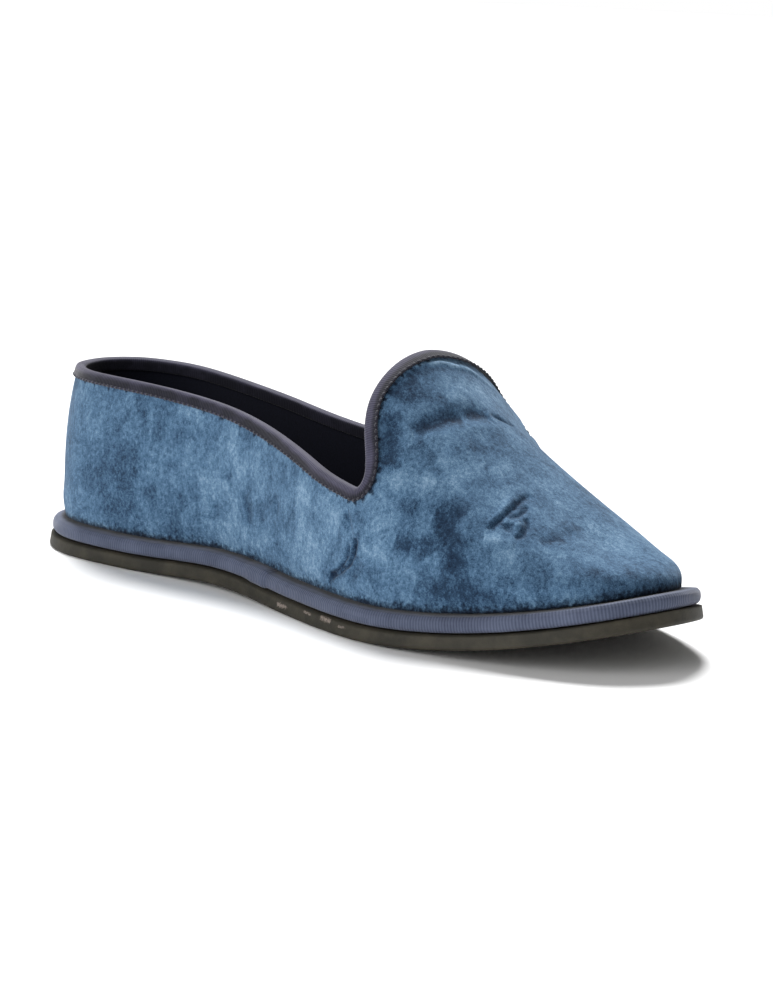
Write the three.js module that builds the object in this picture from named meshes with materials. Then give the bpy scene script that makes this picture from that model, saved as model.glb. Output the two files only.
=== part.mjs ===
// A left velvet house slipper, built as a slipper maker builds it: a stitched rubber outsole, a midsole board
// wrapped in ribbed tape, a padded insole, a hollow velvet upper with a high round tongue and a deep notch at
// each side, and a folded ribbon binding along the whole collar.
// Millimetres. +X points to the toe, +Y to the outer side of the foot, +Z up. The origin is on the floor,
// under the middle of the sole.
import * as THREE from "three";

// Driving sizes
const soleLength = 290;
const ballWidth = 107;
const outsoleThickness = 5;
const midsoleThickness = 5.6;
const insoleThickness = 4;
const upperWall = 2;
const tongueHeight = 86.6; // floor to the top of the tongue
const toeSpring = 15; // how far the toe end of the outsole lifts off the floor
const archLift = 1.6; // how far the waist of the outsole lifts off the floor
const upperInset = 5.6; // edge of the outsole to the foot of the upper
const toeInset = 3.8; // how much further in the upper stands at the tip of the toe
const toePull = 8; // the higher, the closer to the tip that starts
const clearance = 0.3; // gap between neighbouring pieces
const tapeThickness = 0.6;
const tapeWidth = 4.6; // how far the collar binding reaches down each face of the tongue
const quarterTapeWidth = 3.4; // and down each face of the quarter, where the ribbon is pulled further over
const channelInset = 6.2; // edge of the outsole to the stitching channel
const channelWidth = 1.8;
const channelDepth = 0.9;
const edgeRound = 0.9; // rounding of the outsole's lower edge
const edgeDraft = 0.7; // how far the outsole's side leans in towards its top

// Fineness of the meshes
const outlineSteps = 34; // along each half of the outline
const endCrowding = 0.5; // how much closer these steps lie round the heel and the toe
const wallSteps = 8; // up the side of the upper, to the tape
const tapeSteps = 2; // across the collar binding
const quarterSteps = 27; // collar, from the back seam to the notch
const notchSteps = 8; // round the bottom of the notch
const tongueSteps = 12; // collar, from the notch to the top of the tongue
const vampSteps = 16; // crown, from the top of the tongue to the toe

const inner = -1; // the side of the big toe and the arch
const outer = 1;

// The sole's outline seen from above, from the heel to the toe: along as a share of the length, inner and
// outer as shares of the ball's width, measured from the middle line.
const outlineRows = [
  { along: 0.02, inner: 0.199, outer: 0.158 },
  { along: 0.055, inner: 0.284, outer: 0.252 },
  { along: 0.1, inner: 0.334, outer: 0.316 },
  { along: 0.18, inner: 0.345, outer: 0.357 },
  { along: 0.347, inner: 0.305, outer: 0.409 },
  { along: 0.43, inner: 0.326, outer: 0.447 },
  { along: 0.513, inner: 0.378, outer: 0.482 },
  { along: 0.596, inner: 0.436, outer: 0.507 },
  { along: 0.69, inner: 0.474, outer: 0.506 },
  { along: 0.824, inner: 0.426, outer: 0.419 },
  { along: 0.907, inner: 0.352, outer: 0.32 },
  { along: 0.969, inner: 0.232, outer: 0.198 },
];
const tipAcross = -0.02; // the middle of the heel's and the toe's end, towards the inner side

// The last, in sections from the heel to the toe. along is the share of the length at which the section
// meets the crown line, height its crown above the floor as a share of the tongue's height, across the
// crown's place sideways and bulge how far the wall leans out above its foot, as shares of the ball's width.
const sectionRows = [
  { along: 0.12, height: 1.1, across: 0, bulge: 0.03 },
  { along: 0.3, height: 1.1, across: 0, bulge: 0.045 },
  { along: 0.45, height: 1.08, across: -0.03, bulge: 0.05 },
  { along: 0.56, height: 1.04, across: -0.05, bulge: 0.045 },
  { along: 0.637, height: 1, across: -0.055, bulge: 0.035 },
  { along: 0.7, height: 0.83, across: -0.055, bulge: 0.03 },
  { along: 0.78, height: 0.63, across: -0.05, bulge: 0.03 },
  { along: 0.88, height: 0.43, across: -0.04, bulge: 0.02 },
];

// How full the sections are. On each side, rise and reach are the shares of the wall's height and of the half
// width over which the section stays upright and flat.
const fullnessRows = [
  { along: 0.3, innerRise: 0.75, innerReach: 0.55, outerRise: 0.75, outerReach: 0.55 },
  { along: 0.45, innerRise: 0.72, innerReach: 0.55, outerRise: 0.66, outerReach: 0.53 },
  { along: 0.56, innerRise: 0.68, innerReach: 0.56, outerRise: 0.58, outerReach: 0.5 },
  { along: 0.637, innerRise: 0.66, innerReach: 0.58, outerRise: 0.52, outerReach: 0.48 },
  { along: 0.668, innerRise: 0.63, innerReach: 0.58, outerRise: 0.38, outerReach: 0.33 },
  { along: 0.7, innerRise: 0.6, innerReach: 0.58, outerRise: 0.4, outerReach: 0.36 },
  { along: 0.78, innerRise: 0.58, innerReach: 0.58, outerRise: 0.5, outerReach: 0.48 },
  { along: 0.87, innerRise: 0.55, innerReach: 0.54, outerRise: 0.55, outerReach: 0.54 },
];

// The collar's edge on each side of the last, from the back seam to the top of the tongue: along is the
// share of the way round from heel to toe at the foot, and up the share of the way up the section.
const collarBack = { along: 0, up: 0.37 };
const collarTop = { along: 0.626, up: 1 };
const collarRows = {
  [inner]: [
    { along: 0.05, up: 0.37 },
    { along: 0.1, up: 0.37 },
    { along: 0.16, up: 0.369 },
    { along: 0.25, up: 0.364 },
    { along: 0.34, up: 0.347 },
    { along: 0.43, up: 0.324 },
    { along: 0.51, up: 0.302 },
    { along: 0.572, up: 0.276 },
    { along: 0.61, up: 0.266 },
    { along: 0.632, up: 0.275 },
    { along: 0.641, up: 0.33 },
    { along: 0.635, up: 0.395 },
    { along: 0.622, up: 0.475 },
    { along: 0.615, up: 0.57 },
    { along: 0.616, up: 0.69 },
    { along: 0.621, up: 0.84 },
  ],
  [outer]: [
    { along: 0.05, up: 0.368 },
    { along: 0.1, up: 0.36 },
    { along: 0.16, up: 0.342 },
    { along: 0.25, up: 0.3 },
    { along: 0.34, up: 0.258 },
    { along: 0.43, up: 0.238 },
    { along: 0.51, up: 0.23 },
    { along: 0.567, up: 0.222 },
    { along: 0.602, up: 0.215 },
    { along: 0.622, up: 0.228 },
    { along: 0.626, up: 0.28 },
    { along: 0.614, up: 0.345 },
    { along: 0.6, up: 0.43 },
    { along: 0.593, up: 0.54 },
    { along: 0.608, up: 0.69 },
    { along: 0.62, up: 0.84 },
  ],
};
const notchRows = { from: 9, to: 12 }; // the rows between which the notch's round bottom lies
const notchFoot = 0.71; // the section line at the end of the notch starts this far along the foot
const lineBend = 2.5; // how much the section lines keep their leaning for their upper ends
const tongueFoot = 0.8; // the section line that ends at the top of the tongue starts this far along the foot

// Smooth curves

// A point on a smooth curve through rows of numbers, at t from 0 to 1, with one row past each end.
function throughRows(rows, t) {
  const spans = rows.length - 3;
  const at = Math.min(Math.max(t, 0), 1) * spans;
  const i = Math.min(Math.floor(at), spans - 1);
  const f = at - i;
  const [a, b, c, d] = rows.slice(i, i + 4);
  return b.map((_, n) => {
    const slopeIn = (c[n] - a[n]) / 2;
    const slopeOut = (d[n] - b[n]) / 2;
    const rise = c[n] - b[n];
    const bend = 3 * rise - 2 * slopeIn - slopeOut;
    return b[n] + f * (slopeIn + f * (bend + f * (slopeIn + slopeOut - 2 * rise)));
  });
}

// The value of one column of a table at a place along it, by a smooth curve through its rows.
function tableAt(rows, column, along) {
  const last = rows.length - 1;
  const x = Math.min(Math.max(along, rows[0].along), rows[last].along);
  let i = 0;
  while (i < last - 1 && rows[i + 1].along < x) i += 1;
  const slope = (n) => {
    const from = rows[Math.max(n - 1, 0)];
    const to = rows[Math.min(n + 1, last)];
    return (to[column] - from[column]) / (to.along - from.along);
  };
  const span = rows[i + 1].along - rows[i].along;
  const f = (x - rows[i].along) / span;
  const slopeIn = slope(i) * span;
  const slopeOut = slope(i + 1) * span;
  const rise = rows[i + 1][column] - rows[i][column];
  const bend = 3 * rise - 2 * slopeIn - slopeOut;
  return rows[i][column] + f * (slopeIn + f * (bend + f * (slopeIn + slopeOut - 2 * rise)));
}

// The sole's outline

const outlinePoint = (along, across) =>
  new THREE.Vector3((along - 0.5) * soleLength, across * ballWidth, 0);
const outlineCurve = new THREE.CatmullRomCurve3(
  [
    outlinePoint(0, tipAcross),
    ...outlineRows.map((row) => outlinePoint(row.along, -row.inner)),
    outlinePoint(1, tipAcross),
    ...outlineRows.toReversed().map((row) => outlinePoint(row.along, row.outer)),
  ],
  true,
);

// Each half of the outline from the heel to the toe, as points with their distance along it.
const halfSamples = 400;
function halfOutline(side) {
  const samples = [];
  let length = 0;
  for (let i = 0; i <= halfSamples; i += 1) {
    const t = (0.5 * i) / halfSamples;
    const point = outlineCurve.getPoint(side === inner ? t : 1 - t);
    if (i > 0) length += point.distanceTo(samples[i - 1].point);
    samples.push({ point, length });
  }
  return samples;
}
const halves = { [inner]: halfOutline(inner), [outer]: halfOutline(outer) };

// The point at a share of the way from heel to toe along one half of the outline.
function pointOnOutline(side, share) {
  if (share < 0) return pointOnOutline(-side, -share);
  if (share > 1) return pointOnOutline(-side, 2 - share);
  const half = halves[side];
  const wanted = share * half[halfSamples].length;
  let low = 0;
  let high = halfSamples;
  while (high - low > 1) {
    const middle = (low + high) >> 1;
    if (half[middle].length <= wanted) low = middle;
    else high = middle;
  }
  const f = (wanted - half[low].length) / (half[high].length - half[low].length);
  return half[low].point.clone().lerp(half[high].point, f);
}

// A point set in from the outline, with the direction that points out of the sole there.
const nearShare = 0.004;
function edgePoint(side, share, inset) {
  const before = pointOnOutline(side, share - nearShare);
  const after = pointOnOutline(side, share + nearShare);
  const tangent = after.sub(before).normalize();
  const outward = new THREE.Vector3(-side * tangent.y, side * tangent.x, 0);
  const point = pointOnOutline(side, share).addScaledVector(outward, -inset);
  return { point, outward };
}

// How far the underside is off the floor: flat under heel and ball, a low arch, and the toe spring.
const arch = { from: 0.22, to: 0.53 };
const springFrom = 0.67;
const springPower = 1.9;
function floorGap(x) {
  const along = x / soleLength + 0.5;
  const underArch = THREE.MathUtils.clamp((along - arch.from) / (arch.to - arch.from), 0, 1);
  const pastBall = Math.max(0, (along - springFrom) / (1 - springFrom));
  return archLift * Math.sin(Math.PI * underArch) ** 2 + toeSpring * pastBall ** springPower;
}

// A closed slab that follows the outline: each ring is set in from the edge and lies some way above the
// underside, and the first and the last ring are closed across.
function slab(rings, toeTuck = 0) {
  const count = 2 * outlineSteps;
  const crowded = (f) => f - (endCrowding * Math.sin(2 * Math.PI * f)) / (2 * Math.PI);
  const positions = [];
  const triangles = [];
  for (const { inset, up } of rings) {
    for (let i = 0; i < count; i += 1) {
      const onInner = i <= outlineSteps;
      const share = crowded((onInner ? i : count - i) / outlineSteps);
      const { point } = edgePoint(onInner ? inner : outer, share, inset + toeTuck * share ** toePull);
      positions.push(point.x, point.y, floorGap(point.x) + up);
    }
  }
  const vertex = (ring, i) => ring * count + (i % count);
  for (let ring = 0; ring < rings.length - 1; ring += 1) {
    for (let i = 0; i < count; i += 1) {
      triangles.push(vertex(ring, i), vertex(ring, i + 1), vertex(ring + 1, i + 1));
      triangles.push(vertex(ring, i), vertex(ring + 1, i + 1), vertex(ring + 1, i));
    }
  }
  const closeAcross = (ring, facesUp) => {
    for (let i = 0; i < outlineSteps; i += 1) {
      const [a, b] = [vertex(ring, i), vertex(ring, i + 1)];
      const [c, d] = [vertex(ring, count - i - 1), vertex(ring, count - i)];
      const quad = [
        [a, b, c],
        [a, c, d],
      ];
      for (const triangle of quad) {
        if (new Set(triangle).size < 3) continue;
        triangles.push(...(facesUp ? triangle : triangle.toReversed()));
      }
    }
  };
  closeAcross(0, false);
  closeAcross(rings.length - 1, true);
  return closedGeometry(positions, triangles);
}

function closedGeometry(positions, triangles) {
  const geometry = new THREE.BufferGeometry();
  geometry.setAttribute("position", new THREE.Float32BufferAttribute(positions, 3));
  geometry.setIndex(triangles);
  return geometry;
}

// Outsole: flat rubber with a rounded lower edge and a stitching channel round its underside.
const channelFar = channelInset + channelWidth;
const channelSlope = channelWidth / 5;
const outsoleGeometry = slab([
  { inset: channelFar, up: 0 },
  { inset: channelFar - channelSlope, up: channelDepth },
  { inset: channelInset + channelSlope, up: channelDepth },
  { inset: channelInset, up: 0 },
  { inset: edgeRound, up: 0 },
  { inset: edgeRound / 4, up: edgeRound / 4 },
  { inset: 0, up: edgeRound },
  { inset: edgeDraft, up: outsoleThickness },
]);

// Midsole: a board wrapped in ribbed tape, so its side is round and a little inside the outsole's edge.
const midsoleFoot = outsoleThickness + clearance;
const midsoleTop = midsoleFoot + midsoleThickness;
const wrapInset = 1; // edge of the outsole to the fullest part of the wrapped side
const midsoleGeometry = slab(
  [
    { tuck: 0.18, up: 0 },
    { tuck: 0.03, up: 0.2 },
    { tuck: 0, up: 0.45 },
    { tuck: 0.06, up: 0.7 },
    { tuck: 0.22, up: 0.9 },
    { tuck: 0.5, up: 1 },
  ].map(({ tuck, up }) => ({
    inset: wrapInset + tuck * midsoleThickness,
    up: midsoleFoot + up * midsoleThickness,
  })),
);

// Insole: a thin pad inside the foot of the upper, softly rounded at its edge.
const insoleFoot = midsoleTop + clearance;
const insoleInset = upperInset + upperWall + 2 * clearance;
const insoleGeometry = slab(
  [
    { tuck: 0.1, up: 0 },
    { tuck: 0, up: 0.3 },
    { tuck: 0.08, up: 0.72 },
    { tuck: 0.4, up: 0.95 },
    { tuck: 1.1, up: 1 },
  ].map(({ tuck, up }) => ({
    inset: insoleInset + tuck * insoleThickness,
    up: insoleFoot + up * insoleThickness,
  })),
  toeInset,
);

// The last, whose surface is the outer face of the upper

const upperFoot = midsoleTop + clearance;
const crownFromHeel = 0.12; // how far the crown line's ends stay inside the outline, as shares of the length
const crownFromToe = 0.12;
const crownPull = 3;

function crownPoint(along) {
  return new THREE.Vector3(
    (along - 0.5) * soleLength,
    tableAt(sectionRows, "across", along) * ballWidth,
    tableAt(sectionRows, "height", along) * tongueHeight,
  );
}

// A point on the last: along from heel to toe round one side, up from its foot (0) to the crown line (1).
const crownNear = 0.004;
function lastPoint(side, along, up) {
  if (along < 0) return lastPoint(-side, -along, up);
  if (along > 1) return lastPoint(-side, 2 - along, up);
  if (up > 1) return lastPoint(-side, along, 2 - up);
  const inset = upperInset + toeInset * along ** toePull;
  const { point: foot, outward } = edgePoint(side, along, inset);
  foot.z = floorGap(foot.x) + upperFoot;
  const opposite = edgePoint(-side, along, inset).point;
  const middle = (foot.x + opposite.x) / 2 / (soleLength - 2 * upperInset) + 0.5;
  const crownAlong =
    middle + crownFromHeel * (1 - middle) ** crownPull - crownFromToe * middle ** crownPull;
  const crown = crownPoint(crownAlong);
  const ahead = crownPoint(crownAlong + crownNear).sub(crownPoint(crownAlong - crownNear));
  const offCrown = foot.clone().sub(crown);
  const sideName = side === inner ? "inner" : "outer";
  const rise = tableAt(fullnessRows, `${sideName}Rise`, crownAlong);
  const reach = tableAt(fullnessRows, `${sideName}Reach`, crownAlong);
  const bulge = tableAt(sectionRows, "bulge", crownAlong) * ballWidth;
  const upright = foot.clone().addScaledVector(outward, bulge);
  upright.z += rise * (crown.z - foot.z);
  const sideways = new THREE.Vector3(offCrown.x, offCrown.y, (offCrown.x * ahead.z) / ahead.x);
  const flat = crown.clone().addScaledVector(sideways, reach);
  return new THREE.CubicBezierCurve3(foot, upright, flat, crown).getPoint(up);
}

// The last's outward direction at a point.
const nearUp = 0.01;
function lastNormal(side, along, up) {
  const forward = lastPoint(side, along + nearShare, up).sub(lastPoint(side, along - nearShare, up));
  const upward = lastPoint(side, along, up + nearUp).sub(lastPoint(side, along, up - nearUp));
  return forward.cross(upward).normalize().multiplyScalar(-side);
}

// The place on the last a given distance away, going over its surface in a direction.
const slideSteps = 3;
function slide(side, place, direction, distance) {
  let { along, up } = place;
  for (let i = 0; i < slideSteps; i += 1) {
    const perAlong = lastPoint(side, along + nearShare, up)
      .sub(lastPoint(side, along - nearShare, up))
      .divideScalar(2 * nearShare);
    const perUp = lastPoint(side, along, up + nearUp)
      .sub(lastPoint(side, along, up - nearUp))
      .divideScalar(2 * nearUp);
    const step = direction.clone().multiplyScalar(distance / slideSteps);
    const [aa, au, uu] = [perAlong.dot(perAlong), perAlong.dot(perUp), perUp.dot(perUp)];
    const [sa, su] = [step.dot(perAlong), step.dot(perUp)];
    const size = aa * uu - au * au;
    along += (sa * uu - su * au) / size;
    up += (su * aa - sa * au) / size;
  }
  return { along, up };
}

// The collar's edge on one side, from the back seam (0) to the top of the tongue (1).
function collarPlace(side, t) {
  const rows = collarRows[side];
  const [first, lastRow] = [rows[0], rows[rows.length - 1]];
  const [along, up] = throughRows(
    [
      [-first.along, first.up],
      ...[collarBack, ...rows, collarTop].map((row) => [row.along, row.up]),
      [lastRow.along, 2 - lastRow.up],
    ],
    t,
  );
  return { along, up };
}

function collarPoint(side, t) {
  if (t < 0) return collarPoint(-side, -t);
  if (t > 1) return collarPoint(-side, 2 - t);
  const { along, up } = collarPlace(side, t);
  return lastPoint(side, along, up);
}

// Upper

// The lines up the side of the upper, from the heel to the toe. Each has its place at the foot and its place
// at the top, and those that end at the collar have the direction down the face from its edge.
function wallLines(side) {
  const lines = [];
  const collarLine = (t, foot, width) => {
    const top = collarPlace(side, t);
    const tangent = collarPoint(side, t + nearShare).sub(collarPoint(side, t - nearShare));
    const down = tangent.cross(lastNormal(side, top.along, top.up)).normalize().multiplyScalar(-side);
    lines.push({ foot, top, down, width });
  };
  const spans = collarRows[side].length + 1;
  const [notchFrom, notchTo] = [notchRows.from / spans, notchRows.to / spans];
  for (let i = 0; i < quarterSteps; i += 1) {
    const t = (notchFrom * i) / quarterSteps;
    collarLine(t, collarPlace(side, t).along, quarterTapeWidth);
  }
  const quarterFoot = collarPlace(side, notchFrom).along;
  for (let i = 0; i < notchSteps; i += 1) {
    const f = i / notchSteps;
    collarLine(
      THREE.MathUtils.lerp(notchFrom, notchTo, f),
      THREE.MathUtils.lerp(quarterFoot, notchFoot, f),
      THREE.MathUtils.lerp(quarterTapeWidth, tapeWidth, f),
    );
  }
  for (let i = 0; i <= tongueSteps; i += 1) {
    const f = i / tongueSteps;
    collarLine(
      THREE.MathUtils.lerp(notchTo, 1, f),
      THREE.MathUtils.lerp(notchFoot, tongueFoot, f),
      tapeWidth,
    );
  }
  const tapeEnd = slide(side, collarTop, lines.at(-1).down, tapeWidth);
  for (let i = 1; i <= vampSteps; i += 1) {
    const f = i / vampSteps;
    lines.push({
      foot: THREE.MathUtils.lerp(tongueFoot, 1, f),
      top: { along: THREE.MathUtils.lerp(tapeEnd.along, 1, f), up: 1 },
    });
  }
  return lines;
}

// The places under the tape on one line, from the tape's lower edge up to the collar's edge.
function tapePlaces(side, { top, down, width }) {
  const places = [];
  for (let i = tapeSteps; i > 0; i -= 1) {
    places.push(slide(side, top, down, (width * i) / tapeSteps));
  }
  return [...places, top];
}

function upperShell() {
  const faces = new Surface();
  for (const side of [inner, outer]) {
    const columns = wallLines(side).map((line) => {
      const tape = line.down ? tapePlaces(side, line) : [line.top];
      const column = [];
      for (let i = 0; i < wallSteps; i += 1) {
        const f = i / wallSteps;
        const bend = THREE.MathUtils.lerp(line.foot, tape[0].along, f ** lineBend);
        column.push({ along: bend, up: tape[0].up * f });
      }
      return [...column, ...tape].map((place) => faces.point(side, place));
    });
    columns.slice(0, -1).forEach((column, i) => {
      const next = columns[i + 1];
      const rows = Math.min(column.length, next.length);
      for (let j = 0; j < rows - 1; j += 1) {
        faces.quad(side, column[j], next[j], next[j + 1], column[j + 1]);
      }
    });
  }
  return faces.thickened(0, -upperWall);
}

const seamReach = 0.01; // how close to the middle line, as a share, the points of both sides are shared
const seamGap = 0.4;

// An open surface on the last, with the last's own outward direction at each point.
class Surface {
  points = [];
  normals = [];
  triangles = [];

  point(side, { along, up }) {
    const point = lastPoint(side, along, up);
    if (along <= seamReach || along >= 1 - seamReach || up >= 1 - seamReach) {
      const known = this.points.findIndex((other) => other.distanceTo(point) < seamGap);
      if (known >= 0) return known;
    }
    this.points.push(point);
    this.normals.push(lastNormal(side, along, up));
    return this.points.length - 1;
  }

    quad(side, a, b, c, d) {
    for (const triangle of [
      [a, b, c],
      [a, c, d],
    ]) {
      if (new Set(triangle).size < 3) continue;
      this.triangles.push(side === inner ? triangle : triangle.toReversed());
    }
  }

  // A closed wall between two copies of the surface, each moved along its normals.
  thickened(outerOffset, innerOffset) {
    const count = this.points.length;
    const positions = [];
    for (const offset of [outerOffset, innerOffset]) {
      this.points.forEach((point, i) => {
        const moved = point.clone().addScaledVector(this.normals[i], offset);
        // The foot stays level, so that it stands on the midsole.
        if (point.z < floorGap(point.x) + upperFoot + 1e-3) moved.z = floorGap(moved.x) + upperFoot;
        positions.push(...moved.toArray());
      });
    }
    const rimEdges = new Map();
    for (const triangle of this.triangles) {
      triangle.forEach((from, n) => {
        const to = triangle[(n + 1) % 3];
        if (!rimEdges.delete(`${to},${from}`)) rimEdges.set(`${from},${to}`, [from, to]);
      });
    }
    const triangles = this.triangles.flat();
    for (const [a, b, c] of this.triangles) triangles.push(a + count, c + count, b + count);
    for (const [from, to] of rimEdges.values()) {
      triangles.push(to, from, from + count, to, from + count, to + count);
    }
    return closedGeometry(positions, triangles);
  }
}

// Collar binding: a ribbon folded over the collar's edge, all round the opening.
function foldedBinding() {
  const far = clearance + tapeThickness;
  const inside = -upperWall;
  const rings = [];
  for (const side of [inner, outer]) {
    const lines = wallLines(side).filter((line) => line.down);
    const kept = side === inner ? lines : lines.slice(1, -1).toReversed();
    for (const line of kept) {
      const tape = tapePlaces(side, line).map((place) => ({
        point: lastPoint(side, place.along, place.up),
        normal: lastNormal(side, place.along, place.up),
      }));
      const edge = tape.at(-1);
      const face = (out) => tape.map(({ point, normal }) => point.clone().addScaledVector(normal, out));
      const above = (height, out) =>
        edge.point.clone().addScaledVector(line.down, -height).addScaledVector(edge.normal, out);
      rings.push([
        ...face(far),
        above(far, clearance),
        above(far, inside - clearance),
        ...face(inside - far).toReversed(),
        ...face(inside - clearance),
        above(clearance, inside - clearance),
        above(clearance, clearance),
        ...face(clearance).toReversed(),
      ]);
    }
  }
  const corners = rings[0].length;
  const triangles = [];
  rings.forEach((_, i) => {
    const [here, next] = [i * corners, ((i + 1) % rings.length) * corners];
    for (let n = 0; n < corners; n += 1) {
      const m = (n + 1) % corners;
      triangles.push(here + n, next + n, next + m, here + n, next + m, here + m);
    }
  });
  const positions = rings.flat().flatMap((point) => point.toArray());
  return closedGeometry(positions, triangles);
}

// The slipper

const slipper = new THREE.Group();
slipper.name = "velvet_slipper";

function addPiece(name, geometry, finish) {
  const mesh = new THREE.Mesh(geometry, new THREE.MeshStandardMaterial(finish));
  mesh.name = name;
  slipper.add(mesh);
}

addPiece("outsole", outsoleGeometry, { color: 0x35322e, roughness: 0.62, metalness: 0 });
addPiece("wrapped_midsole", midsoleGeometry, { color: 0x3d4560, roughness: 0.85, metalness: 0 });
addPiece("insole", insoleGeometry, { color: 0x15161a, roughness: 0.9, metalness: 0 });
addPiece("upper", upperShell(), { color: 0x34577c, roughness: 0.8, metalness: 0 });
addPiece("collar_binding", foldedBinding(), { color: 0x2f3347, roughness: 0.85, metalness: 0 });

// The outline bends to one side, so the whole slipper is set over the middle of its own width.
const reach = new THREE.Box3().setFromObject(slipper);
slipper.position.y = -(reach.min.y + reach.max.y) / 2;

export default slipper;
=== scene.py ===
import math
import random

import bmesh
import bpy
import numpy as np
from mathutils import Matrix, Vector, noise
from mathutils.bvhtree import BVHTree


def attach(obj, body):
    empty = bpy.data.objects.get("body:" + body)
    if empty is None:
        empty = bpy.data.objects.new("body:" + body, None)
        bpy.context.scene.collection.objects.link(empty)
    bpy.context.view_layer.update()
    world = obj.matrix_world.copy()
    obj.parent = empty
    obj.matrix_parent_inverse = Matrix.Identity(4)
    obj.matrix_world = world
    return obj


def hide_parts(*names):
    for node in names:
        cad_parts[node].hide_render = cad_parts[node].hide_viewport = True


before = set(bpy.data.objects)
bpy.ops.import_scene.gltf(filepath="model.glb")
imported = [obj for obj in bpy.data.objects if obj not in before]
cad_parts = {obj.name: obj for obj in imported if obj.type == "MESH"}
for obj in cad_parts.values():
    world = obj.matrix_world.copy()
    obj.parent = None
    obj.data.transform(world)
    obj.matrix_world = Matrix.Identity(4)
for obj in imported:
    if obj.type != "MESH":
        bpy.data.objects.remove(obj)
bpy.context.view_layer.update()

# Camera
# A long lens looks at the slipper from the inner side of the foot, ahead of the tongue and a little above
# it, turned by the photograph's small roll. The slipper fills most of the frame's width.

camera_turn = math.radians(46.4)
camera_rise = math.radians(11.8)
camera_roll = math.radians(1.4)
camera_distance = 1.1
lens_length = 150.9
slipper_middle = (0.0102, 0.0321)
floor_point = Vector((0, -0.00205, 0))

level = Vector((math.cos(camera_turn), math.sin(camera_turn), 0))
backward = Vector((
    math.sin(camera_turn) * math.cos(camera_rise),
    -math.cos(camera_turn) * math.cos(camera_rise),
    math.sin(camera_rise),
))
upward = backward.cross(level)
rolled_level = level * math.cos(camera_roll) + upward * math.sin(camera_roll)
rolled_upward = upward * math.cos(camera_roll) - level * math.sin(camera_roll)

camera_place = floor_point + backward * camera_distance
aim = floor_point + rolled_level * slipper_middle[0] + rolled_upward * slipper_middle[1]
camera_back = (camera_place - aim).normalized()
camera_right = rolled_upward.cross(camera_back).normalized()
camera_up = camera_back.cross(camera_right)

camera = bpy.data.objects.new("camera", bpy.data.cameras.new("camera"))
bpy.context.collection.objects.link(camera)
camera.matrix_world = (
    Matrix.Translation(camera_place) @ Matrix((camera_right, camera_up, camera_back)).transposed().to_4x4()
)
camera.data.lens = lens_length
camera.data.sensor_width = 36
camera.data.sensor_fit = "HORIZONTAL"
camera.data.clip_start = 0.05
bpy.context.scene.camera = camera

# Studio
# A seamless pale sweep under a soft light from above and behind, with a broad low fill from the front. The
# shadow falls towards the camera.


def linear(red, green, blue):
    """A screen colour from 0 to 255 as the light values that Blender's sockets take."""
    return tuple((part / 255) ** 2.2 for part in (red, green, blue)) + (1,)


def add_node(tree, kind, inputs, **settings):
    """A node in a tree. Each input is set to a value, or joined to the socket given for it."""
    made = tree.nodes.new(kind)
    for setting, value in settings.items():
        setattr(made, setting, value)
    for socket, value in inputs.items():
        if isinstance(value, bpy.types.NodeSocket):
            tree.links.new(value, made.inputs[socket])
        else:
            made.inputs[socket].default_value = value
    return made


def new_finish(name, **constants):
    """A material with its Principled shader, whose own sockets take the given constants."""
    material = bpy.data.materials.new(name)
    material.use_nodes = True
    shader = material.node_tree.nodes["Principled BSDF"]
    for socket, value in constants.items():
        shader.inputs[socket.replace("_", " ")].default_value = value
    return material, material.node_tree, shader


def mixed(tree, factor, first, second):
    """A colour between two others. Sockets 6 and 7 of a Mix node are its colours, and 2 is their blend."""
    return add_node(
        tree, "ShaderNodeMix", {"Factor": factor, 6: first, 7: second}, data_type="RGBA",
    ).outputs[2]


def ranged(tree, value, low, high, **ends):
    """A socket's value, spread from its low and high ends over 0 to 1 or over the ends given."""
    limits = {f"To {end.title()}": to for end, to in ends.items()}
    return add_node(
        tree, "ShaderNodeMapRange", {"Value": value, "From Min": low, "From Max": high, **limits},
    ).outputs["Result"]


def worked_out(tree, operation, *values):
    """One step of arithmetic on sockets and numbers."""
    return add_node(tree, "ShaderNodeMath", dict(enumerate(values)), operation=operation).outputs[0]


def dress_shader(tree, shader, colour, height, strength, distance):
    """Joins a colour to a shader and raises its surface by a height."""
    bump = add_node(tree, "ShaderNodeBump", {"Height": height, "Strength": strength, "Distance": distance})
    tree.links.new(colour, shader.inputs["Base Color"])
    tree.links.new(bump.outputs["Normal"], shader.inputs["Normal"])


def new_object(name, data):
    """A mesh or a lamp as an object at the origin."""
    made = bpy.data.objects.new(name, data)
    bpy.context.collection.objects.link(made)
    return made


def object_from(name, form):
    """A finished form as an object. The form is used up."""
    mesh = bpy.data.meshes.new(name)
    form.to_mesh(mesh)
    form.free()
    return new_object(name, mesh)


floor_half = 6
floor_form = bmesh.new()
bmesh.ops.create_grid(floor_form, x_segments=8, y_segments=8, size=floor_half)
floor = object_from("floor", floor_form)
paper, paper_tree, paper_shader = new_finish("pale_paper", Roughness=0.9, Specular_IOR_Level=0.1)
paper_place = add_node(paper_tree, "ShaderNodeTexCoord", {})
paper_cloud = add_node(
    paper_tree, "ShaderNodeTexNoise", {"Vector": paper_place.outputs["Object"], "Scale": 2.5, "Detail": 2}
)
paper_tone = mixed(paper_tree, paper_cloud.outputs["Fac"], linear(247, 247, 247), linear(252, 252, 252))
paper_tree.links.new(paper_tone, paper_shader.inputs["Base Color"])
floor.data.materials.append(paper)


def soft_sun(name, place, spread, power):
    """Even light from one side of the studio, soft by the angle that its source fills."""
    lamp = bpy.data.lights.new(name, "SUN")
    lamp.angle = math.radians(spread)
    lamp.energy = power
    made = new_object(name, lamp)
    facing = Vector(place).to_track_quat("Z", "Y").to_matrix().to_4x4()
    made.matrix_world = Matrix.Translation(place) @ facing


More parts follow.
